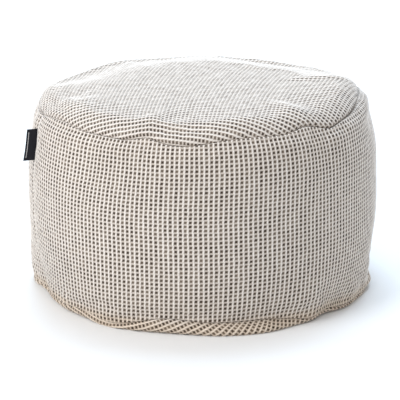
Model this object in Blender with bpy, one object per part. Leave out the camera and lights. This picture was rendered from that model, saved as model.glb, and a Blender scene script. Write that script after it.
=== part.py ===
"""Outdoor pouf, 0.50 m across and 0.30 m high: a soft filled seat sewn from a round top panel, a side
band and a round bottom panel, with a small folded label caught in the seam that closes the band.

It stands on the floor, z = 0, with its front towards -Y. An azimuth is an angle in degrees round the
upright axis, 0 at the front and 90 at +X. Sizes in the constants and tables are in millimetres."""

import math
from collections import namedtuple

import bmesh
import bpy
from mathutils import Vector

MM = 0.001

# Driving sizes
TOP_SEAM_RADIUS = 231.0
TOP_SEAM_HEIGHT = 270.0
BOTTOM_SEAM_RADIUS = 241.0
BOTTOM_SEAM_HEIGHT = 9.0
CROWN_RISE = 24.5  # from the top panel's rim to the middle of the crown
CLIMB_INSET = 0.6  # how far the top seam runs in for each millimetre that a fold lifts it
PIECE_GAP = 0.4  # between two sewn pieces

# A seam is a soft channel: each panel ends this far from its middle line and then turns in.
SEAM_EDGE = 2.2
SEAM_DEPTH = 3.5
TOP_SEAM_FACES = (0.77, 0.64)  # outward and upward share of the way that the channel faces
BOTTOM_SEAM_FACES = (0.90, -0.44)

# The seam that closes the band, a shallow upright channel. Its width is a spread in degrees.
CLOSING_AZIMUTH = -75.0
CLOSING_DEPTH = 2.4
CLOSING_SPREAD = 1.1

# The label is a loop of tape folded flat: its two edges' heights, its reach from the band at
# either edge, and the thickness of its two layers together.
LABEL_TOP = 246.0
LABEL_FOOT = 201.0
LABEL_TOP_REACH = 12.8
LABEL_FOOT_REACH = 14.0
LABEL_THICKNESS = 1.8
LABEL_ROOT_GAP = 0.5

# The bottom panel below its seam: how far inside the seam it meets the floor, how far it stands out
# between the two, and the height of that widest line as a share of its rim's height
FOOT_INSET = 10.0
STRIP_SWELL = 1.5
STRIP_SHARE = 0.4

Row = namedtuple("Row", "share size")

# Radius of the band over its height, from the bottom seam (0) to the top seam (1)
BAND_SECTION = (
    Row(0.00, 242.0),
    Row(0.09, 245.3),
    Row(0.18, 247.8),
    Row(0.31, 249.6),
    Row(0.45, 250.0),
    Row(0.60, 249.9),
    Row(0.73, 249.0),
    Row(0.80, 247.4),
    Row(0.87, 244.8),
    Row(0.93, 240.6),
    Row(0.97, 236.2),
    Row(1.00, 231.5),
)

# Height of the crown above its rim, as a share of CROWN_RISE, from the rim (0) to the middle (1)
CROWN_SECTION = (
    Row(0.00, 0.00),
    Row(0.03, 0.32),
    Row(0.06, 0.55),
    Row(0.09, 0.71),
    Row(0.12, 0.80),
    Row(0.16, 0.85),
    Row(0.22, 0.89),
    Row(0.35, 0.94),
    Row(0.60, 0.98),
    Row(1.00, 1.00),
)

Side = namedtuple("Side", "azimuth crown shoulder hem")

# How the sides differ: lift of the crown near its rim, and the band's radius near its top and foot
SIDES = (
    Side(-155, -12.0, 0.0, 1.0),
    Side(-134, -11.0, 2.0, 2.0),
    Side(-111, -12.0, 1.0, 3.5),
    Side(-90, -4.0, -4.0, 8.0),
    Side(-45, 1.0, -1.0, 1.5),
    Side(0, 0.0, 0.0, 0.0),
    Side(45, 0.0, 1.0, 0.0),
    Side(90, 0.0, 0.0, -13.0),
    Side(122, -9.0, 3.0, -4.0),
    Side(152, -14.0, 1.0, -1.0),
    Side(180, -6.5, 0.0, 0.0),
)

# Where along a section each of these acts, as shares of its way. The band's radius follows its top
# seam from the first share on, and its bottom seam up to the second.
FOLLOWS_TOP_FROM = 0.72
FOLLOWS_FOOT_TO = 0.4
SHOULDER_SHARE = 0.84  # middle and spread of the band's shoulder
SHOULDER_SPREAD = 0.09
SWELL_SHARE = 0.955  # middle and spread of a fold's swell under the top seam
SWELL_SPREAD = 0.03
SEAM_LIFT_ENDS = 0.5  # the crown no longer follows its seam's height here
CROWN_LIFT_SHARE = 0.14  # middle and spread of the crown's lift, and where it is full
CROWN_LIFT_SPREAD = 0.14
CROWN_LIFT_FULL = 0.1

Fold = namedtuple("Fold", "azimuth spread rise inward swell depth foot", defaults=(0,))

# Folds along the top seam: how far each lifts the seam and draws it inward, how far the band's
# shoulder swells beside it, and how much deeper the channel is. A spread is in degrees.
TOP_FOLDS = (
    Fold(-172, 9, -3.0, 0.0, 1.5, 0.5),
    Fold(-146, 7, 3.5, 0.0, 0.0, 0.5),
    Fold(-124, 8, -2.5, 0.0, 1.0, 1.0),
    Fold(-98, 6, 3.0, -1.0, 0.0, 1.0),
    Fold(-76, 4, -3.0, 2.0, -1.0, 1.5),
    Fold(-57, 7, 4.5, 0.0, 0.0, 0.0),
    Fold(-27, 4, -1.0, 0.0, 1.5, 1.0),
    Fold(-19, 3, 4.0, 0.0, -1.0, 0.0),
    Fold(-6, 6, -4.5, 0.0, 1.5, 1.5),
    Fold(16, 7, 2.5, 0.0, 0.0, 0.0),
    Fold(38, 4, 6.0, 0.0, 0.0, 2.0),
    Fold(49, 4, -3.5, -1.0, 1.0, 3.0),
    Fold(60, 4, 0.0, 0.5, 2.5, 4.0),
    Fold(70, 5, 1.0, 1.0, 2.0, 4.0),
    Fold(79, 5, 1.0, 3.0, 3.0, 1.0),
    Fold(88, 10, 8.0, 2.5, 6.0, 4.0),
    Fold(118, 8, -4.0, 0.0, 0.0, 0.5),
    Fold(142, 10, -5.0, 0.0, 1.0, 0.5),
    Fold(165, 7, -3.0, 0.0, 1.5, 1.0),
)

# The same for the bottom seam. Its swell is of the strip of bottom panel that shows below the band,
# and foot is how far that strip's line on the floor moves out.
HEM_FOLDS = (
    Fold(-175, 12, 3.0, 0.0, 1.0, 1.0, 2.0),
    Fold(-140, 9, 0.0, 1.0, 0.0, 0.0, 0.0),
    Fold(-115, 7, 4.0, 2.0, 0.0, 1.0, -2.0),
    Fold(-77, 6, -2.0, 11.0, -4.0, 2.0, -12.0),
    Fold(-64, 8, -3.0, 9.0, -3.0, 1.0, -12.0),
    Fold(-47, 6, 3.5, 3.0, -2.5, 0.0, -10.0),
    Fold(-33, 6, -4.0, 0.0, 0.0, 0.5, 0.0),
    Fold(-12, 8, 12.0, 0.0, 0.0, 0.5, 0.0),
    Fold(8, 8, 6.0, 0.0, 8.0, 1.0, 15.0),
    Fold(21, 6, 4.0, 0.0, 7.0, 1.5, 12.0),
    Fold(36, 4, -3.0, -6.0, -5.0, 1.0, -10.0),
    Fold(44, 4, 0.0, 3.0, -5.0, 3.0, -14.0),
    Fold(55, 6, -4.0, -6.0, -5.0, 4.0, -14.0),
    Fold(70, 6, -4.0, -9.0, -3.0, 4.0, -9.0),
    Fold(105, 8, 3.0, 3.0, 0.0, 1.0, 0.0),
    Fold(142, 9, 0.0, 0.0, 1.0, 0.0, 0.0),
)

Pucker = namedtuple("Pucker", "azimuth spread height reach out")

# Soft bumps and hollows in the band: spread in degrees, height of the middle, reach up and down,
# and how far the cloth stands out. The first is the small ear at the foot of the right side.
PUCKERS = (
    Pucker(79, 4.0, 11, 6, 12.0),
    Pucker(70, 4.0, 40, 14, 1.8),
    Pucker(58, 3.0, 26, 12, 2.6),
    Pucker(50, 3.0, 28, 12, -2.4),
    Pucker(30, 5.0, 36, 12, 1.6),
    Pucker(20, 5.0, 32, 10, -1.4),
    Pucker(-62, 4.0, 32, 14, -2.0),
    Pucker(-76, 3.0, 254, 10, 2.2),
    Pucker(-88, 3.0, 32, 16, 2.0),
    Pucker(-120, 6.0, 42, 18, -1.8),
    Pucker(124, 6.0, 38, 18, 1.8),
    Pucker(178, 8.0, 36, 16, -1.6),
)

# Where the meshes have their points. Steps round the axis are closer beside the closing seam and
# the ear, and rows are closer near a seam.
AZIMUTH_STEP = 3.75
CLOSE_STEPS = (-2.6, -1.1, 0.0, 1.1, 2.6)
CLOSE_AZIMUTHS = (CLOSING_AZIMUTH, PUCKERS[0].azimuth)
BAND_ROWS = (0, 0.02, 0.05, 0.09, 0.14, 0.21, 0.31, 0.42, 0.53, 0.63, 0.72)
SHOULDER_ROWS = (0.79, 0.85, 0.895, 0.93, 0.96, 0.985, 1)
CROWN_ROWS = (0, 0.02, 0.045, 0.07, 0.1, 0.14, 0.2, 0.28, 0.4, 0.55, 0.7, 0.86)
STRIP_ROWS = (0, 0.2, 0.4, 0.55, 0.7, 0.85, 1)
INNER_SHARE = 0.55  # the sewn faces inside the body turn level at this share of the seam's radius
LABEL_ROWS = 6
LABEL_ROUND_STEPS = 4
SHARP_ANGLE = 50  # an edge that turns more than this isn't shaded smooth

# Colours (linear), roughness
CLOTH_COLOUR = (0.58, 0.52, 0.45, 1.0)
CLOTH_ROUGHNESS = 0.9
LABEL_COLOUR = (0.012, 0.012, 0.014, 1.0)
LABEL_ROUGHNESS = 0.55


def bell(distance, spread):
    """Smooth bump: 1 in the middle and close to 0 beyond two spreads."""
    return math.exp(-0.5 * (distance / spread) ** 2)


def ease(low, high, value):
    """0 up to low, 1 from high on, and a smooth S between them."""
    share = min(1.0, max(0.0, (value - low) / (high - low)))
    return share * share * (3 - 2 * share)


def turn_between(azimuth, other):
    """Signed angle from other to azimuth, the short way round."""
    return (azimuth - other + 180) % 360 - 180


def smooth(points, at):
    """Value at a place on a smooth curve through (place, value) points in rising order."""

    def slope(k):
        low, high = points[max(k - 1, 0)], points[min(k + 1, len(points) - 1)]
        return (high[1] - low[1]) / (high[0] - low[0])

    end = 1
    while end < len(points) - 1 and points[end][0] < at:
        end += 1
    start = end - 1
    gap = points[end][0] - points[start][0]
    past = (at - points[start][0]) / gap
    rest = 1 - past
    return (
        points[start][1] * rest * rest * (1 + 2 * past)
        + points[end][1] * past * past * (3 - 2 * past)
        + slope(start) * gap * past * rest * rest
        - slope(end) * gap * past * past * rest
    )


def around(column, azimuth):
    """One column of SIDES at an azimuth, on a closed smooth curve through its rows."""
    rows = [(side.azimuth, getattr(side, column)) for side in SIDES]
    before = [(place - 360, value) for place, value in rows[-2:]]
    after = [(place + 360, value) for place, value in rows[:2]]
    return smooth(before + rows + after, azimuth)


def folds(table, column, azimuth):
    """Sum of what the folds near an azimuth add in one column."""
    return sum(
        getattr(fold, column) * bell(turn_between(azimuth, fold.azimuth), fold.spread)
        for fold in table
    )


def azimuth_list():
    """Even steps round the axis, with the close steps in place of those beside them."""
    even = [k * AZIMUTH_STEP - 180 for k in range(round(360 / AZIMUTH_STEP))]
    room = max(CLOSE_STEPS) + AZIMUTH_STEP / 2
    kept = [a for a in even if all(abs(turn_between(a, c)) > room for c in CLOSE_AZIMUTHS)]
    close = [middle + step for middle in CLOSE_AZIMUTHS for step in CLOSE_STEPS]
    return sorted(kept + close)


AZIMUTHS = azimuth_list()


def top_seam(azimuth):
    """Radius, height and channel depth of the top seam, which runs in as it climbs the shoulder."""
    rise = folds(TOP_FOLDS, "rise", azimuth)
    radius = TOP_SEAM_RADIUS - CLIMB_INSET * rise - folds(TOP_FOLDS, "inward", azimuth)
    return radius, TOP_SEAM_HEIGHT + rise, SEAM_DEPTH + folds(TOP_FOLDS, "depth", azimuth)


def bottom_seam(azimuth):
    """Radius, height and channel depth of the bottom seam."""
    rise = folds(HEM_FOLDS, "rise", azimuth)
    radius = BOTTOM_SEAM_RADIUS + around("hem", azimuth) - folds(HEM_FOLDS, "inward", azimuth)
    return radius, BOTTOM_SEAM_HEIGHT + rise, SEAM_DEPTH + folds(HEM_FOLDS, "depth", azimuth)


def channel_point(azimuth, seam, faces, side):
    """Deepest point of a seam's channel, half the gap above its middle (side 1) or below (-1)."""
    radius, height, depth = seam(azimuth)
    return radius - depth * faces[0], height - depth * faces[1] + side * PIECE_GAP / 2


def band_point(azimuth, share):
    """Outside of the band, from its lower edge (0) to its upper edge (1)."""
    seam_radius, seam_height, _ = top_seam(azimuth)
    top_radius = seam_radius + SEAM_EDGE * TOP_SEAM_FACES[1]
    top_height = seam_height - SEAM_EDGE * TOP_SEAM_FACES[0]
    foot_radius, seam_height, _ = bottom_seam(azimuth)
    foot_height = seam_height + SEAM_EDGE
    radius = smooth(BAND_SECTION, share)
    radius += (top_radius - BAND_SECTION[-1].size) * ease(FOLLOWS_TOP_FROM, 1, share)
    radius += (foot_radius - BAND_SECTION[0].size) * (1 - ease(0, FOLLOWS_FOOT_TO, share))
    radius += around("shoulder", azimuth) * bell(share - SHOULDER_SHARE, SHOULDER_SPREAD)
    height = foot_height + share * (top_height - foot_height)
    swell = folds(TOP_FOLDS, "swell", azimuth) * bell(share - SWELL_SHARE, SWELL_SPREAD)
    radius += swell * TOP_SEAM_FACES[0]
    height += swell * TOP_SEAM_FACES[1]
    radius -= CLOSING_DEPTH * bell(turn_between(azimuth, CLOSING_AZIMUTH), CLOSING_SPREAD)
    for pucker in PUCKERS:
        beside = bell(turn_between(azimuth, pucker.azimuth), pucker.spread)
        radius += pucker.out * beside * bell(height - pucker.height, pucker.reach)
    return radius, height


def crown_point(azimuth, share):
    """Outside of the top panel, from its rim (0) to the middle of the crown (1)."""
    seam_radius, seam_height, _ = top_seam(azimuth)
    rim_radius = seam_radius - SEAM_EDGE * TOP_SEAM_FACES[1]
    level_rim = TOP_SEAM_HEIGHT + SEAM_EDGE * TOP_SEAM_FACES[0]
    height = level_rim + CROWN_RISE * smooth(CROWN_SECTION, share)
    height += (seam_height - TOP_SEAM_HEIGHT) * (1 - ease(0, SEAM_LIFT_ENDS, share))
    lift = around("crown", azimuth) * bell(share - CROWN_LIFT_SHARE, CROWN_LIFT_SPREAD)
    height += lift * ease(0, CROWN_LIFT_FULL, share)
    return rim_radius * (1 - share), height


def strip_point(azimuth, share):
    """Outside of the bottom panel: out from its rim (0) to the widest line, then round under to
    where it lies on the floor (1)."""
    radius, seam_height, _ = bottom_seam(azimuth)
    rim_height = seam_height - SEAM_EDGE
    wide_radius = radius + STRIP_SWELL + folds(HEM_FOLDS, "swell", azimuth)
    wide_height = STRIP_SHARE * rim_height
    foot_radius = radius - FOOT_INSET + folds(HEM_FOLDS, "foot", azimuth)
    turn = STRIP_ROWS[2]
    if share < turn:
        out = share / turn
        swing = math.sin(out * math.pi / 2)
        return radius + (wide_radius - radius) * swing, rim_height + (wide_height - rim_height) * out
    angle = (share - turn) / (1 - turn) * math.pi / 2
    reach = (wide_radius - foot_radius) * math.cos(angle)
    return foot_radius + reach, wide_height * (1 - math.sin(angle))


def ring(bm, point_at, *details):
    """A ring of points, one at each azimuth."""
    points = []
    for azimuth in AZIMUTHS:
        radius, height = point_at(azimuth, *details)
        angle = math.radians(azimuth)
        place = Vector((radius * math.sin(angle), -radius * math.cos(angle), height))
        points.append(bm.verts.new(place * MM))
    return points


def skin(bm, rings):
    """Four-sided faces between each ring and the next."""
    for low, high in zip(rings, rings[1:]):
        for k in range(len(low)):
            bm.faces.new((low[k - 1], low[k], high[k], high[k - 1]))


def sewn_face(bm, rim, height):
    """The face inside the body behind a seam: in from the rim to a level disc. Its three-sided
    faces are the same for the two pieces that meet there, so that their gap is even."""
    inner = []
    for vert in rim:
        place = Vector((vert.co.x * INNER_SHARE, vert.co.y * INNER_SHARE, height * MM))
        inner.append(bm.verts.new(place))
    for k in range(len(rim)):
        bm.faces.new((rim[k - 1], rim[k], inner[k]))
        bm.faces.new((rim[k - 1], inner[k], inner[k - 1]))
    bm.faces.new(inner)


def finished(bm, name, colour, roughness):
    """An object of the mesh, facing outwards and shaded smooth, with a material of its own."""
    bmesh.ops.recalc_face_normals(bm, faces=bm.faces)
    mesh = bpy.data.meshes.new(name)
    bm.to_mesh(mesh)
    bm.free()
    mesh.shade_smooth()
    mesh.set_sharp_from_angle(angle=math.radians(SHARP_ANGLE))
    material = bpy.data.materials.new(name)
    material.use_nodes = True
    shader = material.node_tree.nodes["Principled BSDF"]
    shader.inputs["Base Color"].default_value = colour
    shader.inputs["Roughness"].default_value = roughness
    mesh.materials.append(material)
    piece = bpy.data.objects.new(name, mesh)
    bpy.context.scene.collection.objects.link(piece)
    return piece


def top_panel():
    """The round panel of the seat, with its crown."""
    bm = bmesh.new()
    rim = ring(bm, channel_point, top_seam, TOP_SEAM_FACES, 1)
    rows = [ring(bm, crown_point, share) for share in CROWN_ROWS]
    skin(bm, [rim] + rows)
    _, height = crown_point(0, 1)
    middle = bm.verts.new((0, 0, height * MM))
    last = rows[-1]
    for k in range(len(last)):
        bm.faces.new((last[k - 1], last[k], middle))
    sewn_face(bm, rim, TOP_SEAM_HEIGHT - SEAM_DEPTH * TOP_SEAM_FACES[1] + PIECE_GAP / 2)
    return finished(bm, "top_panel", CLOTH_COLOUR, CLOTH_ROUGHNESS)


def side_band():
    """The band round the side, closed by one upright seam."""
    bm = bmesh.new()
    low_rim = ring(bm, channel_point, bottom_seam, BOTTOM_SEAM_FACES, 1)
    high_rim = ring(bm, channel_point, top_seam, TOP_SEAM_FACES, -1)
    rows = [ring(bm, band_point, share) for share in BAND_ROWS + SHOULDER_ROWS]
    skin(bm, [low_rim] + rows + [high_rim])
    sewn_face(bm, low_rim, BOTTOM_SEAM_HEIGHT - SEAM_DEPTH * BOTTOM_SEAM_FACES[1] + PIECE_GAP / 2)
    sewn_face(bm, high_rim, TOP_SEAM_HEIGHT - SEAM_DEPTH * TOP_SEAM_FACES[1] - PIECE_GAP / 2)
    return finished(bm, "side_band", CLOTH_COLOUR, CLOTH_ROUGHNESS)


def bottom_panel():
    """The round panel underneath. A strip of it shows below the band, and the rest lies flat."""
    bm = bmesh.new()
    rim = ring(bm, channel_point, bottom_seam, BOTTOM_SEAM_FACES, -1)
    rows = [ring(bm, strip_point, share) for share in reversed(STRIP_ROWS)]
    skin(bm, rows + [rim])
    bm.faces.new(rows[0])
    sewn_face(bm, rim, BOTTOM_SEAM_HEIGHT - SEAM_DEPTH * BOTTOM_SEAM_FACES[1] - PIECE_GAP / 2)
    return finished(bm, "bottom_panel", CLOTH_COLOUR, CLOTH_ROUGHNESS)


def label_outline(root, reach):
    """Outline of the folded tape seen from above: along its first side, round the fold and back.
    Each point is (distance from the axis, distance to the side)."""
    half = LABEL_THICKNESS / 2
    turn = [-math.pi / 2 + k * math.pi / LABEL_ROUND_STEPS for k in range(LABEL_ROUND_STEPS + 1)]
    fold = [(root + reach - half + half * math.cos(a), half * math.sin(a)) for a in turn]
    return [(root, -half)] + fold + [(root, half)]


def label():
    """The loop of tape that stands out of the closing seam."""
    angle = math.radians(CLOSING_AZIMUTH)
    outward = Vector((math.sin(angle), -math.cos(angle), 0))
    sideways = Vector((math.cos(angle), math.sin(angle), 0))
    _, band_foot = band_point(CLOSING_AZIMUTH, 0)
    _, band_top = band_point(CLOSING_AZIMUTH, 1)
    bm = bmesh.new()
    rows = []
    for k in range(LABEL_ROWS + 1):
        past = k / LABEL_ROWS
        height = LABEL_FOOT + past * (LABEL_TOP - LABEL_FOOT)
        reach = LABEL_FOOT_REACH + past * (LABEL_TOP_REACH - LABEL_FOOT_REACH)
        share = (height - band_foot) / (band_top - band_foot)
        root = band_point(CLOSING_AZIMUTH, share)[0] + LABEL_ROOT_GAP
        row = []
        for out, side in label_outline(root, reach + CLOSING_DEPTH):
            place = outward * out + sideways * side
            row.append(bm.verts.new((place.x * MM, place.y * MM, height * MM)))
        rows.append(row)
    skin(bm, rows)
    bm.faces.new(rows[0])
    bm.faces.new(rows[-1])
    return finished(bm, "label", LABEL_COLOUR, LABEL_ROUGHNESS)


def centre(pieces):
    """Shifts every piece alike, so that the middle of their common box is over the origin."""
    corners = [vert.co for piece in pieces for vert in piece.data.vertices]
    low = Vector((min(c.x for c in corners), min(c.y for c in corners), 0))
    high = Vector((max(c.x for c in corners), max(c.y for c in corners), 0))
    for piece in pieces:
        piece.location = -(low + high) / 2


def main():
    for obj in list(bpy.data.objects):
        bpy.data.objects.remove(obj, do_unlink=True)
    centre([top_panel(), side_band(), bottom_panel(), label()])


main()
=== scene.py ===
"""Looks of the outdoor pouf: its three filled panels in coarse woven cloth, puckered along their seams,
and the folded tape label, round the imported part.

The pouf stands on z = 0 with its front towards -Y. An azimuth is an angle in degrees round the panels'
upright axis, 0 at the front and 90 at +X. Lengths are in millimetres until a mesh is made of them, and
a place in the cloth is counted in cords across it and in picks, its dots, along it."""

import math
from collections import namedtuple

import bmesh
import bpy
import numpy as np
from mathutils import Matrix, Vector


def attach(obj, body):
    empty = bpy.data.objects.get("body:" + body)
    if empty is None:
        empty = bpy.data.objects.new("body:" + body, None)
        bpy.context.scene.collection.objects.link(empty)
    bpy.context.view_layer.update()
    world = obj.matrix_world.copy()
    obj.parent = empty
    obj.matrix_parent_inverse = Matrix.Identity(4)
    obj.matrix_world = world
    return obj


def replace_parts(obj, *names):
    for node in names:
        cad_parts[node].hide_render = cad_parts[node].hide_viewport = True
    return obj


MM = 0.001

# The weave: a coarse basket of cream warp cords with dark dots of weft between them
CORD_PITCH = 6.8  # from one column of dots to the next
PICK_PITCH = 5.84  # from one dot to the next along a cord
CORD_RISE = 1.4  # of a cord's crest above a dot; the form runs halfway between the two
BAR_SHARE = 0.55  # height of the bar between two dots, as a share of CORD_RISE
CORD_SLOPE, BAR_SLOPE = (0.10, 0.44), (0.18, 0.46)  # where they rise, in shares of a pitch from a dot
CORD_STEPS = 4  # mesh steps from one column of dots to the next
PICK_STEPS = 2  # mesh steps from one dot to the next
LIP = 0.6  # the weave's mesh ends this far from the edge of its seam's channel
SEAM_FADE = 1.5  # and its relief fades out over this width
SEAM_FILL = 1.7  # how far the sewn edges stand out of the bottom of the seam's channel
SEAM_CLOSE = 0.17  # and how far each moves towards the other, which leaves no open slit
DEEP_FROM, DEEP_TO = (32, 46), (95, 120)  # azimuths where the channels begin and end to stay deep
TOP_SEAM_FACES = (0.77, 0.64)  # outward and upward share of the way that a channel faces
BOTTOM_SEAM_FACES = (0.90, -0.44)
SNAP = 0.7  # a mesh point nearer than this to the weave's edge, or past it, is moved onto it
MERGE = 0.35  # points moved onto an edge become one when they are nearer than this
SECTION_GAP = 0.2  # degrees; the CAD solids' sections lie further apart than this
FLOOR_SHADE_FULL, FLOOR_SHADE_GONE = 10.0, 26.0  # heights between which the painted shade on the cloth near the floor fades out

# The strip of cloth of the band starts and ends at its closing seam
CLOSING_AZIMUTH = -75.0
DOT_AZIMUTH = 0.66  # a column of dots runs up the band here
CORD_TURN = 1.558  # degrees from one column to the next
LEVEL_ROW_HEIGHT = 140.0  # a row of dots runs round the band at this height
FOOT_LEAN_STARTS, FOOT_LEAN_FULL = 115.0, 30.0  # heights between which the cords begin to lean
SHOULDER_LEAN_STARTS, SHOULDER_LEAN_FULL = 150.0, 245.0

Drape = namedtuple("Drape", "azimuth foot shoulder pick")

# How the band's cloth lies: degrees that the cords lean sideways at the foot and at the shoulder, and
# the distance from dot to dot below the level row
DRAPES = (
    Drape(-75, -7.0, -0.4, 6.30),
    Drape(-62, -5.4, 0.0, 6.28),
    Drape(-51, -1.5, 1.4, 6.24),
    Drape(-41, -0.7, 2.6, 6.18),
    Drape(-29, -0.8, 1.9, 6.12),
    Drape(-17, -0.8, 0.9, 6.06),
    Drape(0, -0.4, 0.7, 6.02),
    Drape(20, -0.7, 0.8, 5.90),
    Drape(36, -1.9, 0.9, 5.80),
    Drape(44, -1.0, -0.2, 5.78),
    Drape(58, -4.6, 0.9, 5.78),
    Drape(72, -5.0, 2.2, 5.80),
    Drape(110, 0.0, 0.0, 5.84),
    Drape(200, 1.2, -0.8, 5.90),
    Drape(285, 0.0, 0.0, 6.30),
)

# The top panel's cloth lies askew and a little stretched. Along its cords a place is this sum of the
# distances to the right and away from the front.
Draw = namedtuple("Draw", "right away right_right right_away away_away")
TOP_DRAW = Draw(1.009, -0.21, -0.31e-3, -0.47e-3, -0.30e-3)
TOP_SKEW = math.radians(12)  # across the cords it is turned by this
BOTTOM_TURN = math.radians(38)

# Cloth simulation
PRESSURE = 4.0
EXTRA_CLOTH = 0.010  # share by which a panel's cloth is longer than its form, eased in at the seams
BAND_PUCKER, TOP_PUCKER = 1.8, 1.0  # the furthest that a pucker stands off the form
BROAD_ROUNDS = 24  # rounds of smoothing that leave only the broad swelling

# The label, a loop of tape in the seam that closes the band
TAPE_THICKNESS = 0.35
LOOP_WIDTH = 1.2  # between the middles of its two layers
STRIPE_INSET, STRIPE_WIDTH, STRIPE_END = 4.3, 1.0, 4.0  # from the fold, across, and short of the edges
RIB_PITCH = 0.349  # of the fine ribs across the tape

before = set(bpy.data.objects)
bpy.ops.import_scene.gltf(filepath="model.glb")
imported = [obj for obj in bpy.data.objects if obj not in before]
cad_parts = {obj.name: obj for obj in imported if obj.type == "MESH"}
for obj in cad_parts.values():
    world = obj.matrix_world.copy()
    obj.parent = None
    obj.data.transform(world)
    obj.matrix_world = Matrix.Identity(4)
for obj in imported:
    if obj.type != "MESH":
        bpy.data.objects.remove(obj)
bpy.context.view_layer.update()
bpy.ops.object.select_all(action="DESELECT")
scene = bpy.context.scene


# Curves and sections


def ease(low, high, value):
    """0 up to low, 1 from high on, and a smooth S between them."""
    share = np.clip((value - low) / (high - low), 0, 1)
    return share * share * (3 - 2 * share)


def read_curves(places, values, at):
    """Smooth curves through values[curve, point] at rising places[curve, point], read at the places
    at[curve, k]. A single curve serves all rows of at."""
    count = places.shape[1]
    after = np.minimum(np.arange(count) + 1, count - 1)
    before = np.maximum(np.arange(count) - 1, 0)
    slopes = (values[:, after] - values[:, before]) / (places[:, after] - places[:, before])[..., None]
    start = (places[:, None, 1:-1] <= at[:, :, None]).sum(-1)
    curve = np.minimum(np.arange(len(at)), len(places) - 1)[:, None]
    low, high = places[curve, start], places[curve, start + 1]
    gap = (high - low)[..., None]
    past = (at - low)[..., None] / gap
    rest = 1 - past
    return (
        values[curve, start] * rest**2 * (1 + 2 * past)
        + values[curve, start + 1] * past**2 * (3 - 2 * past)
        + slopes[curve, start] * gap * past * rest**2
        - slopes[curve, start + 1] * gap * past**2 * rest
    )


def node_points(node):
    """The points of a CAD node, merged, and how many of its triangles share each."""
    bm = bmesh.new()
    bm.from_mesh(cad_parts[node].data)
    bmesh.ops.remove_doubles(bm, verts=bm.verts, dist=0.01 * MM)
    points = np.array([vert.co for vert in bm.verts]) / MM
    shares = np.array([len(vert.link_faces) for vert in bm.verts])
    bm.free()
    return points, shares


def crown_middle():
    """The pole of the crown, the point that most triangles share. The panels' axis runs through it."""
    points, shares = node_points("top_panel")
    return points[np.argmax(shares)]


POLE = crown_middle()
AXIS = POLE * (1, 1, 0)


class Form:
    """The smooth outside of a panel, read from its CAD node: upright sections round the axis, each a
    row of (radius, height) in turning order round a point inside it, its heart. shows tells from the
    radius and height of points which of them are on the outside, and last is a point that every
    section ends in."""

    def __init__(self, node, heart, shows, last=None):
        points = node_points(node)[0] - AXIS
        points = points[shows(np.hypot(points[:, 0], points[:, 1]), points[:, 2])]
        azimuth = (np.degrees(np.arctan2(points[:, 0], -points[:, 1])) + 181) % 360 - 181
        order = np.argsort(azimuth)
        azimuth, points = azimuth[order], points[order]
        section = np.stack([np.hypot(points[:, 0], points[:, 1]), points[:, 2]], 1)
        breaks = np.flatnonzero(np.diff(azimuth) > SECTION_GAP) + 1
        parts = list(zip(np.split(azimuth, breaks), np.split(section, breaks)))
        # A section that the CAD solid gives only in part is left to its neighbours
        full = max(len(part) for _, part in parts)
        parts = [pair for pair in parts if len(pair[1]) == full]
        places = np.array([turn.mean() for turn, _ in parts])
        rows = []
        for _, part in parts:
            part = part[np.argsort(np.arctan2(*(part - heart).T[::-1]))]
            rows.append(part if last is None else np.vstack([part, last]))
        rows = np.array(rows)
        self.places = np.concatenate([places[-3:] - 360, places, places[:3] + 360])[None]
        self.rows = np.concatenate([rows[-3:], rows, rows[:3]])
        self.start = places[0]

    def sections(self, azimuths):
        """Rows of (radius, height) at some azimuths, and the length along each up to each point."""
        turned = (azimuths - self.start) % 360 + self.start
        count = self.rows.shape[1]
        flat = self.rows.reshape(1, len(self.rows), -1)
        rows = read_curves(self.places, flat, turned[None])[0].reshape(-1, count, 2)
        steps = np.linalg.norm(np.diff(rows, axis=1), axis=2)
        return rows, np.pad(np.cumsum(steps, axis=1), ((0, 0), (1, 0)))

    def points(self, azimuths, lengths):
        """Points in space at azimuths[k] and lengths[k] along the section there."""
        rows, along = self.sections(azimuths)
        place = read_curves(along, rows, lengths[:, None])[:, 0]
        angle = np.radians(azimuths)
        radius, height = place.T
        return np.stack([radius * np.sin(angle), -radius * np.cos(angle), height], 1) + AXIS

    def level(self, azimuths):
        """Length along each section up to the level row."""
        rows, lengths = self.sections(azimuths)
        heights = rows[:, :, 1]
        above = 1 + (heights[:, 1:-1] < LEVEL_ROW_HEIGHT).sum(1)
        each = np.arange(len(azimuths))
        low, high = heights[each, above - 1], heights[each, above]
        past = (LEVEL_ROW_HEIGHT - low) / (high - low)
        return lengths[each, above - 1] * (1 - past) + lengths[each, above] * past


# Meshes


def rings_of_faces(rings, count):
    """Four-sided faces between rings of points numbered ring after ring."""
    k = np.arange(count)
    n = (k + 1) % count
    low = [np.stack([r * count + k, r * count + n, (r + 1) * count + n, (r + 1) * count + k], 1)
           for r in range(rings - 1)]
    return np.concatenate(low).tolist()


def fan(ring, middle):
    """Three-sided faces from a ring of point numbers to a middle one."""
    return [[a, b, middle] for a, b in zip(ring, ring[1:] + ring[:1])]


def lattice_faces(wide, high):
    """Four-sided faces of a lattice whose points are numbered up column after column."""
    corner = (np.arange(wide - 1)[:, None] * high + np.arange(high - 1)).ravel()
    return np.stack([corner, corner + high, corner + high + 1, corner + 1], 1)


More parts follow.
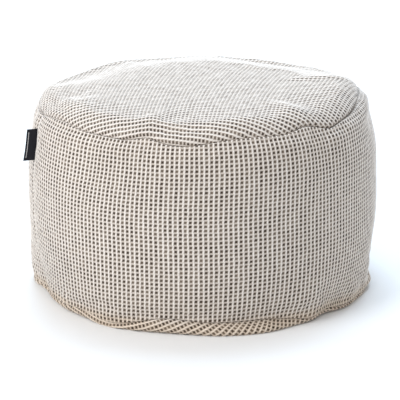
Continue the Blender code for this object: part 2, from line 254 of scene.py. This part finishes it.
def trimmed(points, quads, outside):
    """Faces of a lattice cut at its seams, where the points outside have been moved, and the old
    numbers of the points left. Outside points that fall together become one."""
    quads = quads[~outside[quads].all(1)]
    used = np.unique(quads)
    number = np.full(len(points), -1)
    number[used] = np.arange(len(used))
    bm = bmesh.new()
    old = bm.verts.layers.int.new("old")
    verts = [bm.verts.new(point) for point in points[used]]
    for k, vert in zip(used, verts):
        vert[old] = k
    for face in number[quads].tolist():
        bm.faces.new([verts[k] for k in face])
    moved = [verts[number[k]] for k in used[outside[used]]]
    bmesh.ops.remove_doubles(bm, verts=moved, dist=MERGE)
    bm.verts.index_update()
    kept = np.array([vert[old] for vert in bm.verts])
    faces = [[vert.index for vert in face.verts] for face in bm.faces]
    bm.free()
    return faces, kept


def open_edges(faces):
    """The edges that only one of some faces has, each in that face's turning order."""
    edges = {(a, b) for face in faces for a, b in zip(face, face[1:] + face[:1])}
    return {(a, b) for a, b in edges if (b, a) not in edges}


def borders(faces):
    """The open borders of some faces, each a list of point numbers in turning order."""
    after = dict(open_edges(faces))
    loops = []
    while after:
        loop = [min(after)]
        while after[loop[-1]] != loop[0]:
            loop.append(after.pop(loop[-1]))
        after.pop(loop[-1])
        loops.append(loop)
    return loops


class Cover:
    """The cloth of a panel while its mesh is made. Each point has an azimuth, a length along the form's
    section there, a place in space and its distance inside the nearest seam."""

    def __init__(self, form, azimuths, lengths, points, inside, faces):
        self.form, self.faces = form, faces
        self.azimuths, self.lengths, self.points, self.inside = azimuths, lengths, points, inside
        self.rims = []

    def add_lip(self, loop, upper, faces):
        """Runs the cloth on from its upper or lower border, over the edge of its seam's channel and down
        to the rim in it."""
        azimuths = self.azimuths[loop]
        along = self.form.sections(azimuths)[1]
        edge, rim = (along[:, -2], along[:, -1]) if upper else (along[:, 1], along[:, 0])
        sewn = sewn_out(azimuths, upper, faces)
        ring = loop
        for share in (0, 0.5, 1):
            new = list(range(len(self.azimuths), len(self.azimuths) + len(loop)))
            self.faces += [[ring[k], ring[k - 1], new[k - 1], new[k]] for k in range(len(loop))]
            lengths = edge + share * (rim - edge)
            points = self.form.points(azimuths, lengths) + sewn * share
            self.azimuths = np.append(self.azimuths, azimuths)
            self.lengths = np.append(self.lengths, lengths)
            self.points = np.vstack([self.points, points])
            self.inside = np.append(self.inside, np.zeros(len(loop)))
            ring = new
        self.rims.append(ring)

    def corners(self):
        """Point numbers of the corners of all faces, in turn."""
        return np.array([k for face in self.faces for k in face])

    def close(self, name, cloth, material):
        """Closes the cloth across the body from its rims. cloth is the place in the cloth of each
        corner of each face so far."""
        for ring in self.rims:
            self.faces += fan(ring[::-1], len(self.points))
            self.points = np.vstack([self.points, AXIS + (0, 0, self.points[ring, 2].mean())])
            cloth = np.vstack([cloth, np.zeros((3 * len(ring), 2))])
        inside = np.pad(self.inside, (0, len(self.rims)))
        return cloth_piece(name, self.points, self.faces, cloth, inside, material)


def sewn_out(azimuths, upper, faces):
    """How the sewn edge of a panel stands out of its seam's channel, which faces outward and upward by
    the shares in faces, and moves towards the other edge. At the right the channel stays deep."""
    deep = ease(*DEEP_FROM, azimuths) * (1 - ease(*DEEP_TO, azimuths))
    angle = np.radians(azimuths)
    outward, upward = faces
    offsets = np.stack([outward * np.sin(angle), -outward * np.cos(angle), upward + 0 * angle], 1)
    offsets *= SEAM_FILL * (1 - deep)[:, None]
    offsets[:, 2] += SEAM_CLOSE if upper else -SEAM_CLOSE
    return offsets


def weave_height(cords, picks):
    """Height of the weave's relief at a place in the cloth, from 0 at a dot to 1 on a cord's crest."""
    beside = np.abs(cords - np.round(cords))
    between = np.abs(picks - np.round(picks))
    cord = ease(*CORD_SLOPE, beside)
    return cord + (1 - cord) * ease(*BAR_SLOPE, between) * BAR_SHARE


def cloth_piece(name, points, faces, cloth, inside, material):
    """A closed piece of cloth over its filling. cloth holds the place in the cloth of each corner of
    each face, and inside is how far each point lies from the nearest seam."""
    mesh = bpy.data.meshes.new(name)
    mesh.from_pydata((points * MM).tolist(), [], faces)
    layer = mesh.uv_layers.new(name="cloth")
    layer.data.foreach_set("uv", cloth.astype(np.float32).ravel())
    at_points = np.zeros((len(points), 2))
    at_points[np.concatenate(faces).astype(int)] = cloth
    relief = (weave_height(at_points[:, 0], at_points[:, 1]) - 0.5) * CORD_RISE
    normals = np.empty(len(points) * 3, np.float32)
    mesh.vertex_normals.foreach_get("vector", normals)
    raised = points + normals.reshape(-1, 3) * (relief * ease(0, SEAM_FADE, inside))[:, None]
    raised[:, 2] = np.maximum(raised[:, 2], 0)
    mesh.vertices.foreach_set("co", (raised * MM).astype(np.float32).ravel())
    mesh.shade_smooth()
    mesh.update()
    mesh.materials.append(material)
    piece = bpy.data.objects.new(name, mesh)
    scene.collection.objects.link(piece)
    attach(piece, "root")
    return piece


# Puckers


def simulated(points, inside):
    """How far cloth laid along a lattice of points moves when it is sewn down round its border and
    the filling presses it out."""
    wide, high = inside.shape
    quads = lattice_faces(wide, high)
    quads = quads[inside.ravel()[quads].all(1)]
    used, corners = np.unique(quads, return_inverse=True)
    places = points.reshape(-1, 3)[used]
    faces = corners.reshape(quads.shape).tolist()
    mesh = bpy.data.meshes.new("panel")
    mesh.from_pydata((places * MM).tolist(), [], faces)
    panel = bpy.data.objects.new("panel", mesh)
    scene.collection.objects.link(panel)
    sewn = panel.vertex_groups.new(name="sewn")
    sewn.add([start for start, _ in open_edges(faces)], 1.0, "REPLACE")
    cloth = panel.modifiers.new("filling", "CLOTH")
    cloth.settings.use_pressure = True
    cloth.settings.uniform_pressure_force = PRESSURE
    cloth.settings.effector_weights.gravity = 0
    cloth.settings.vertex_group_mass = "sewn"
    cloth.settings.shrink_min = -EXTRA_CLOTH
    cloth.settings.bending_stiffness = 0.05
    cloth.settings.air_damping = 5
    cloth.collision_settings.use_collision = False
    for number in range(1, 21):
        scene.frame_set(number)
    shape = panel.evaluated_get(bpy.context.evaluated_depsgraph_get()).data
    moved = np.empty(len(used) * 3, np.float32)
    shape.vertices.foreach_get("co", moved)
    offsets = np.zeros((wide * high, 3))
    offsets[used] = moved.reshape(-1, 3) / MM - places
    bpy.data.objects.remove(panel)
    bpy.data.meshes.remove(mesh)
    scene.frame_set(1)
    return offsets.reshape(wide, high, 3)


def puckers(points, inside, cap):
    """Offsets that give a lattice of points the puckers of sewn and filled cloth. The form already has
    the broad swelling, so only what is narrower is kept, up to about cap millimetres."""
    coarse = simulated(points[::CORD_STEPS, ::PICK_STEPS], inside[::CORD_STEPS, ::PICK_STEPS])
    broad = coarse
    for _ in range(BROAD_ROUNDS):
        wall = np.pad(broad, ((1, 1), (1, 1), (0, 0)), mode="edge")
        beside = wall[:-2, 1:-1] + wall[2:, 1:-1] + wall[1:-1, :-2] + wall[1:-1, 2:]
        broad = (4 * broad + beside) / 8
    narrow = coarse - broad
    size = np.linalg.norm(narrow, axis=2, keepdims=True)
    narrow *= np.tanh(size / cap) * cap / np.maximum(size, 1e-6)
    fine = narrow
    for steps in (CORD_STEPS, PICK_STEPS):
        count = fine.shape[0]
        flat = fine.reshape(1, count, -1)
        at = np.arange((count - 1) * steps + 1) / steps
        fine = read_curves(np.arange(count)[None], flat, at[None])[0]
        fine = fine.reshape(len(at), -1, 3).transpose(1, 0, 2)
    return fine * inside[..., None]


# Panels


def drape(column, azimuths):
    """One column of DRAPES at azimuths of the band."""
    places = [row.azimuth for row in DRAPES]
    return np.interp(azimuths, places, [getattr(row, column) for row in DRAPES])


def cord_lean(azimuths, rise):
    """Degrees that a cord of the band has turned, rise millimetres above the level row."""
    height = LEVEL_ROW_HEIGHT + rise
    foot = np.clip((FOOT_LEAN_STARTS - height) / (FOOT_LEAN_STARTS - FOOT_LEAN_FULL), 0, 1.2) ** 2
    shoulder = ease(SHOULDER_LEAN_STARTS, SHOULDER_LEAN_FULL, height)
    return drape("foot", azimuths) * foot + drape("shoulder", azimuths) * shoulder


def band_cloth(azimuths, rise):
    """Place in the band's cloth, in cords and picks, of a spot on the band."""
    upright = azimuths
    for _ in range(3):
        upright = azimuths - cord_lean(upright, rise)
    pick = np.where(rise < 0, drape("pick", upright), PICK_PITCH)
    return np.stack([(upright - DOT_AZIMUTH) / CORD_TURN, rise / pick], -1)


def make_band(material):
    """The side band, with its mesh running along the cords from one end of its strip to the other."""
    form = Form("side_band", (150, 140), lambda radius, height: radius > 180)
    # Enough cords and picks to reach past every edge of the strip
    cords = np.arange(-58 * CORD_STEPS, 188 * CORD_STEPS + 1) / CORD_STEPS
    picks = np.arange(-25 * PICK_STEPS, 25 * PICK_STEPS + 1) / PICK_STEPS
    upright = (DOT_AZIMUTH + cords * CORD_TURN)[:, None] + np.zeros(len(picks))
    rise = picks * np.where(picks < 0, drape("pick", upright), PICK_PITCH)
    azimuths = upright + cord_lean(upright, rise)
    ends = (CLOSING_AZIMUTH, CLOSING_AZIMUTH + 360)
    # A mesh point within a quarter of a step of an end is moved onto it
    margin = 0.25 * CORD_TURN / CORD_STEPS
    outside = (azimuths < ends[0] + margin) | (azimuths > ends[1] - margin)
    azimuths = np.where(outside, np.where(azimuths < 90, *ends), azimuths)
    lengths = form.sections(azimuths.ravel())[1]
    level = form.level(azimuths.ravel()).reshape(rise.shape)
    low = lengths[:, 1].reshape(rise.shape) - level + LIP
    high = lengths[:, -2].reshape(rise.shape) - level - LIP
    under, over = rise < low + SNAP, rise > high - SNAP
    outside |= under | over
    rise = np.where(under, low, np.where(over, high, rise))
    points = form.points(azimuths.ravel(), (rise + level).ravel())
    points = points + puckers(points.reshape(*rise.shape, 3), ~outside, BAND_PUCKER).reshape(-1, 3)
    to_ends = np.minimum(azimuths - ends[0], ends[1] - azimuths) * CORD_PITCH / CORD_TURN
    to_edge = np.minimum(np.minimum(rise - low, high - rise), to_ends)
    faces, kept = trimmed(points, lattice_faces(len(cords), len(picks)), outside.ravel())
    spots = [values.ravel()[kept] for values in (azimuths, rise + level)]
    cover = Cover(form, *spots, points[kept], to_edge.ravel()[kept], faces)
    foot, head = sorted(borders(faces), key=lambda loop: cover.points[loop[0], 2])
    cover.add_lip(foot, False, BOTTOM_SEAM_FACES)
    cover.add_lip(head, True, TOP_SEAM_FACES)
    corners = cover.corners()
    around = cover.azimuths[corners]
    # The cloth's two ends meet at the closing seam, where each face takes its own end's place
    at_seam = (around < ends[0] + 0.01) | (around > ends[1] - 0.01)
    sizes = np.array([len(face) for face in faces])
    own = np.maximum.reduceat(np.where(at_seam, ends[0], around), np.cumsum(sizes) - sizes)
    around = np.where(at_seam, np.where(own.repeat(sizes) > 90, ends[1], ends[0]), around)
    cloth = band_cloth(around, cover.lengths[corners] - form.level(around))
    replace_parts(cover.close("band_cover", cloth, material), "side_band")


def top_cloth(right, away):
    """Place in the top panel's cloth, in cords and picks, of a spot right of and away from its middle."""
    draw = TOP_DRAW
    along = draw.right * right + draw.away * away + draw.right_right * right**2
    along += draw.right_away * right * away + draw.away_away * away**2
    across = away * math.cos(TOP_SKEW) + right * math.sin(TOP_SKEW)
    return np.stack([across / CORD_PITCH, along / PICK_PITCH], -1)


def top_spots(cords, picks):
    """Distances right of and away from the top panel's middle of places in its cloth."""
    across, along = cords * CORD_PITCH, picks * PICK_PITCH
    draw = TOP_DRAW
    right = along
    for _ in range(12):
        away = (across - right * math.sin(TOP_SKEW)) / math.cos(TOP_SKEW)
        bent = draw.right_right * right**2 + draw.right_away * right * away + draw.away_away * away**2
        right = (along - draw.away * away - bent) / draw.right
    return right, (across - right * math.sin(TOP_SKEW)) / math.cos(TOP_SKEW)


def make_top(material):
    """The top panel, with its mesh in squares along the cords, which run across it."""
    form = Form(
        "top_panel", (0, 150),
        lambda radius, height: (radius > 150) | ((height > 280) & (radius > 1)),
        last=(0, POLE[2]),
    )
    cords = np.arange(-37 * CORD_STEPS, 37 * CORD_STEPS + 1) / CORD_STEPS
    picks = np.arange(-48 * PICK_STEPS, 42 * PICK_STEPS + 1) / PICK_STEPS
    right, away = top_spots(*np.meshgrid(cords, picks, indexing="ij"))
    azimuths = np.degrees(np.arctan2(right, -away))
    from_pole = np.hypot(right, away)
    lengths = form.sections(azimuths.ravel())[1]
    whole = lengths[:, -1].reshape(from_pole.shape)
    edge = whole - lengths[:, 1].reshape(from_pole.shape) - LIP
    outside = from_pole > edge - SNAP
    from_pole = np.where(outside, edge, from_pole)
    points = form.points(azimuths.ravel(), (whole - from_pole).ravel())
    points = points + puckers(points.reshape(*outside.shape, 3), ~outside, TOP_PUCKER).reshape(-1, 3)
    # The picks run to the right and the cords are counted away, so the faces turn the other way
    quads = lattice_faces(len(cords), len(picks))[:, ::-1]
    faces, kept = trimmed(points, quads, outside.ravel())
    spots = [values.ravel()[kept] for values in (azimuths, whole - from_pole)]
    cover = Cover(form, *spots, points[kept], (edge - from_pole).ravel()[kept], faces)
    cover.add_lip(borders(faces)[0], False, TOP_SEAM_FACES)
    out = form.sections(cover.azimuths)[1][:, -1] - cover.lengths
    angle = np.radians(cover.azimuths)
    cloth = top_cloth(out * np.sin(angle), -out * np.cos(angle))[cover.corners()]
    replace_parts(cover.close("top_cover", cloth, material), "top_panel")


def make_bottom(material):
    """The bottom panel: the strip below the band, and the flat face on the floor."""
    form = Form("bottom_panel", (215, 5), lambda radius, height: radius > 200)
    count = 231 * CORD_STEPS
    azimuths = np.arange(count) * 360 / count
    angle = np.radians(azimuths)
    rows, lengths = form.sections(azimuths)
    foot_radius = rows[:, 0, 0]
    edge, rim = lengths[:, -2], lengths[:, -1]
    along = np.vstack([(edge - LIP) * np.linspace(0, 1, 12)[:, None], edge, (edge + rim) / 2, rim])
    points = form.points(np.tile(azimuths, len(along)), along.ravel())
    sewn = sewn_out(azimuths, True, BOTTOM_SEAM_FACES)
    points[-count:] += sewn
    points[-2 * count : -count] += sewn / 2
    # Rings on the flat face, at shares of the way from its middle to its edge
    flat_rings = [foot_radius * share for share in (0.3, 0.55, 0.75, 0.88, 0.96)]
    flat = [np.stack([r * np.sin(angle), -r * np.cos(angle), 0 * angle], 1) for r in flat_rings]
    points = np.vstack([np.vstack(flat) + AXIS, points])
    from_middle = np.vstack(flat_rings + [foot_radius + along])
    right, away = from_middle * np.sin(angle), -from_middle * np.cos(angle)
    across = right * math.sin(BOTTOM_TURN) + away * math.cos(BOTTOM_TURN)
    picks = right * math.cos(BOTTOM_TURN) - away * math.sin(BOTTOM_TURN)
    cloth = np.stack([across.ravel() / CORD_PITCH, picks.ravel() / PICK_PITCH], 1)
    to_edge = np.minimum(along, np.maximum(edge - along, 0))
    inside = np.vstack([np.zeros((len(flat_rings), count)), to_edge]).ravel()
    middles = [AXIS, AXIS + (0, 0, points[-count:, 2].mean())]
    start = len(points)
    faces = rings_of_faces(len(from_middle), count)
    faces += fan(list(range(count))[::-1], start) + fan(list(range(start - count, start)), start + 1)
    points = np.vstack([points, middles])
    cloth = np.vstack([cloth, np.zeros((2, 2))])[np.concatenate([np.array(face) for face in faces])]
    piece = cloth_piece("bottom_cover", points, faces, cloth, np.pad(inside, (0, 2)), material)
    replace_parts(piece, "bottom_panel")


# Label


def put_in_order(mesh):
    """Numbers a mesh's points and faces by their places. Extruding gives them another order each run."""
    bm = bmesh.new()
    bm.from_mesh(mesh)
    places = ((bm.verts, lambda vert: vert.co), (bm.faces, lambda face: face.calc_center_median()))
    for elements, place in places:
        for number, element in enumerate(sorted(elements, key=lambda element: tuple(place(element)))):
            element.index = number
        elements.sort()
    bm.to_mesh(mesh)
    bm.free()


def make_label():
    """A tape folded into a loop: its near layer, the round fold and the layer that runs back."""
    angle = math.radians(CLOSING_AZIMUTH)
    outward = Vector((math.sin(angle), -math.cos(angle), 0))
    sideways = Vector((math.cos(angle), math.sin(angle), 0))
    corners = [Vector(point * MM) for point in node_points("label")[0]]
    reaches = [corner.dot(outward) for corner in corners]
    sides = [corner.dot(sideways) for corner in corners]
    heights = [corner.z for corner in corners]
    half_loop = LOOP_WIDTH * MM / 2
    root, tip = min(reaches), max(reaches) - half_loop - TAPE_THICKNESS * MM / 2
    side = (min(sides) + max(sides)) / 2 - half_loop
    middle = outward * (root + tip) / 2 + sideways * side
    middle.z = (min(heights) + max(heights)) / 2
    bpy.ops.mesh.primitive_grid_add(
        x_subdivisions=8, y_subdivisions=16, size=1, location=middle,
        rotation=(math.pi / 2, 0, math.pi / 2 + angle), enter_editmode=False,
    )
    tape = bpy.context.object
    tape.name = "label_tape"
    tape.scale = (tip - root, max(heights) - min(heights), 1)
    bpy.ops.object.transform_apply(location=True, rotation=True, scale=True)
    bpy.ops.object.mode_set(mode="EDIT")
    bpy.ops.mesh.select_mode(type="VERT")
    bm = bmesh.from_edit_mesh(tape.data)
    for vert in bm.verts:
        vert.select = vert.co.dot(outward) > tip - 1e-5
    bm.select_flush_mode()
    centre = outward * tip + sideways * (side + half_loop)
    bpy.ops.mesh.spin(steps=8, angle=math.pi, center=centre, axis=(0, 0, -1))
    for _ in range(8):
        back = outward * (root - tip) / 8
        bpy.ops.mesh.extrude_region_move(TRANSFORM_OT_translate={"value": back})
    bpy.ops.object.mode_set(mode="OBJECT")
    # The tape follows the band at its root and stands out less at the top than at the foot
    levels = sorted({round(height, 4) for height in heights})
    at_level = [[r for r, h in zip(reaches, heights) if round(h, 4) == level] for level in levels]
    from_fold = tape.data.attributes.new("from_fold", "FLOAT", "POINT").data
    for vert in tape.data.vertices:
        near = np.interp(vert.co.z, levels, [min(row) for row in at_level])
        far = np.interp(vert.co.z, levels, [max(row) for row in at_level])
        out = vert.co.dot(outward)
        from_fold[vert.index].value = (max(reaches) - out) / MM
        share = (out - root) / (max(reaches) - root)
        vert.co += outward * (near + share * (far - near) - out)
    tape.data.materials.append(satin_tape(min(heights), max(heights)))
    thickness = tape.modifiers.new("thickness", "SOLIDIFY")
    thickness.thickness = TAPE_THICKNESS * MM
    thickness.offset = 0
    bpy.ops.object.modifier_apply(modifier="thickness")
    put_in_order(tape.data)
    bpy.ops.object.shade_smooth_by_angle(angle=math.radians(40))
    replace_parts(tape, "label")
    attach(tape, "root")
    bpy.ops.object.select_all(action="DESELECT")


# Finishes


def linear(hex_colour):
    """An sRGB hex colour as linear red, green, blue and alpha."""
    values = [int(hex_colour[k : k + 2], 16) / 255 for k in (1, 3, 5)]
    return [v / 12.92 if v <= 0.04045 else ((v + 0.055) / 1.055) ** 2.4 for v in values] + [1]


def add(tree, kind, *sources, **settings):
    """A node of a kind with its settings. Its open inputs take the sources in turn: a number, a colour,
    another node, an output of one, or None for what is there already."""
    node = tree.nodes.new("ShaderNode" + kind)
    for setting, value in settings.items():
        setattr(node, setting, value)
    for socket, source in zip([s for s in node.inputs if s.enabled], sources):
        if isinstance(source, bpy.types.Node):
            source = [s for s in source.outputs if s.enabled][0]
        if isinstance(source, bpy.types.NodeSocket):
            tree.links.new(source, socket)
        elif source is not None:
            socket.default_value = source
    return node


def new_material(name, **values):
    """A material and its shader, with values for the shader's inputs."""
    material = bpy.data.materials.new(name)
    material.use_nodes = True
    shader = material.node_tree.nodes["Principled BSDF"]
    for key, value in values.items():
        shader.inputs[key.replace("_", " ")].default_value = value
    return material, material.node_tree, shader


def woven_cloth():
    """Outdoor olefin cloth in a coarse basket weave: matt cream warp cords that catch the light, with
    soft-edged floats of dark melange weft sunk between them and greige bars between the dots."""
    material, tree, shader = new_material(
        "woven_outdoor_cloth", Roughness=0.9, Specular_IOR_Level=0.2, Sheen_Weight=0.5, Sheen_Roughness=0.35,
    )
    laid = add(tree, "UVMap", uv_map="cloth")
    # The soft cords wander a little from their lines
    wander = add(tree, "TexNoise", laid, 0.45, 2.0, noise_dimensions="2D")
    wander = add(tree, "VectorMath", wander.outputs["Color"], (0.5, 0.5, 0.5), operation="SUBTRACT")
    place = add(tree, "VectorMath", wander, (0.2, 0.2, 0), laid, operation="MULTIPLY_ADD")
    half_on = add(tree, "VectorMath", place, (0.5, 0.5, 0.5), operation="ADD")
    whole = add(tree, "VectorMath", half_on, operation="FLOOR")
    from_dot = add(tree, "VectorMath", place, whole, operation="SUBTRACT")
    # The weft slants through its cell, so a dot is a leaning square
    signed = add(tree, "SeparateXYZ", from_dot)
    slanted = add(tree, "Math", signed.outputs[1], -0.12, signed.outputs[0], operation="MULTIPLY_ADD")
    beside = add(tree, "Math", slanted, operation="ABSOLUTE")
    between = add(tree, "Math", signed.outputs[1], operation="ABSOLUTE")
    chance = add(tree, "TexWhiteNoise", whole, noise_dimensions="2D")
    # Melange yarn changes its shade slowly along a column
    slowly = add(tree, "VectorMath", whole, (7.31, 0.16, 0), operation="MULTIPLY")
    drift = add(tree, "TexNoise", slowly, 1.0, 2.0, noise_dimensions="2D")
    across_dot = add(tree, "MapRange", beside, 0.21, 0.35, 1, 0, interpolation_type="SMOOTHSTEP")
    along_dot = add(tree, "MapRange", between, 0.21, 0.38, 1, 0, interpolation_type="SMOOTHSTEP")
    dot = add(tree, "Math", across_dot, along_dot, operation="MULTIPLY")
    cord = add(tree, "MapRange", beside, 0.30, 0.42, 0, 1, interpolation_type="SMOOTHSTEP")
    part = add(tree, "Math", drift, 0.67, operation="MULTIPLY")
    shade = add(tree, "Math", chance, 0.33, part, operation="MULTIPLY_ADD")
    shade = add(tree, "MapRange", shade, 0.30, 0.75, 0, 1, interpolation_type="SMOOTHSTEP")
    dark = add(tree, "Mix", shade, linear("#463B32"), linear("#75695D"), data_type="RGBA")
    bars = add(tree, "Mix", drift, linear("#BBB0A6"), linear("#D0C6BC"), data_type="RGBA")
    creams = add(tree, "Mix", drift, linear("#DDD4CC"), linear("#EAE3DC"), data_type="RGBA")
    sunk = add(tree, "Mix", dot, bars, dark, data_type="RGBA")
    weave = add(tree, "Mix", cord, sunk, creams, data_type="RGBA")
    # Fibres of the bulky yarn throw small shadows on one another
    fibres = add(tree, "VectorMath", laid, (3.1, 2.3, 0), operation="MULTIPLY")
    fibres = add(tree, "TexNoise", fibres, 1.0, 2.0, 0.6, noise_dimensions="2D")
    nap = add(tree, "MapRange", fibres, 0.3, 0.62, 0.0, 1.0, interpolation_type="SMOOTHSTEP")
    napped = add(tree, "Mix", nap, linear("#EAE7E4"), linear("#FFFFFF"), data_type="RGBA")
    colour = add(tree, "Mix", 1.0, weave, napped, data_type="RGBA", blend_type="MULTIPLY")
    # Painted shade: close to the floor the cloth is painted a little darker and browner, standing in for the
    # shade down there
    height = add(tree, "SeparateXYZ", add(tree, "TexCoord").outputs["Object"]).outputs[2]
    fades = (FLOOR_SHADE_FULL * MM, FLOOR_SHADE_GONE * MM, 1, 0)
    floor_shade = add(tree, "MapRange", height, *fades, interpolation_type="SMOOTHSTEP")
    floor_shaded = add(tree, "Mix", floor_shade, colour, linear("#FBF4EA"), data_type="RGBA", blend_type="MULTIPLY")
    tree.links.new(floor_shaded.outputs[2], shader.inputs["Base Color"])
    return material


def satin_tape(foot, top):
    """Black woven polyester satin: smooth and dark with a soft shine, fine ribs across the tape, and a
    thin off-white line woven in beside the fold."""
    material, tree, shader = new_material("black_satin_tape", Roughness=0.5, Specular_IOR_Level=0.2)
    place = add(tree, "TexCoord").outputs["Object"]
    height = add(tree, "SeparateXYZ", place).outputs[2]
    from_fold = add(tree, "Attribute", attribute_name="from_fold").outputs["Fac"]
    near_line = add(tree, "Math", from_fold, STRIPE_INSET, STRIPE_WIDTH / 2, operation="COMPARE")
    middle, half_long = (top + foot) / 2, (top - foot) / 2 - STRIPE_END * MM
    between_ends = add(tree, "Math", height, middle, half_long, operation="COMPARE")
    line = add(tree, "Math", near_line, between_ends, operation="MULTIPLY")
    colour = add(tree, "Mix", line, linear("#1B1A20"), linear("#C9C6C4"), data_type="RGBA")
    tree.links.new(colour.outputs[2], shader.inputs["Base Color"])
    ribs = add(tree, "TexWave", place, math.pi / (10 * RIB_PITCH * MM), bands_direction="Z")
    bump = add(tree, "Bump", 0.25, 0.0001)
    tree.links.new(ribs.outputs["Fac"], bump.inputs["Height"])
    tree.links.new(bump.outputs[0], shader.inputs["Normal"])
    return material


def painted_floor():
    """Matt white studio floor."""
    return new_material("matt_white_floor", Base_Color=linear("#ECECEC"), Roughness=0.9)[0]


# Studio


def make_studio():
    """The white floor and surroundings, a key light at the left front, a cooler one behind and above,
    and the camera."""
    bpy.ops.mesh.primitive_plane_add(size=40, location=(0, 0, 0))
    floor = bpy.context.object
    floor.name = "studio_floor"
    floor.data.materials.append(painted_floor())
    world = bpy.data.worlds.new("studio")
    scene.world = world
    world.use_nodes = True
    sky = world.node_tree.nodes["Background"]
    sky.inputs["Color"].default_value = (1, 1, 1, 1)
    sky.inputs["Strength"].default_value = 0.75
    for name, place, size, power, colour in (
        ("key", (-2.5, -1.6, 2.1), 1.8, 70, (0.98, 0.99, 1.0)),
        ("back", (0.35, 2.1, 3.9), 3.2, 205, (0.63, 0.81, 1.0)),
    ):
        light = bpy.data.lights.new(name, "AREA")
        light.size = size
        light.energy = power
        light.color = colour
        lamp = bpy.data.objects.new(name, light)
        lamp.location = place
        lamp.rotation_euler = (Vector((0, 0, 0.15)) - Vector(place)).to_track_quat("-Z", "Y").to_euler()
        scene.collection.objects.link(lamp)
    camera = bpy.data.objects.new("camera", bpy.data.cameras.new("camera"))
    camera.data.sensor_width = 36
    camera.data.lens = 197.549
    camera.location = (0, -3.03696, 1.06072)
    camera.rotation_euler = [math.radians(a) for a in (72.7473, 0.9733, -0.2429)]
    scene.collection.objects.link(camera)
    scene.camera = camera
    scene.view_settings.view_transform = "Standard"


cloth_material = woven_cloth()
make_band(cloth_material)
make_top(cloth_material)
make_bottom(cloth_material)
make_label()
make_studio()
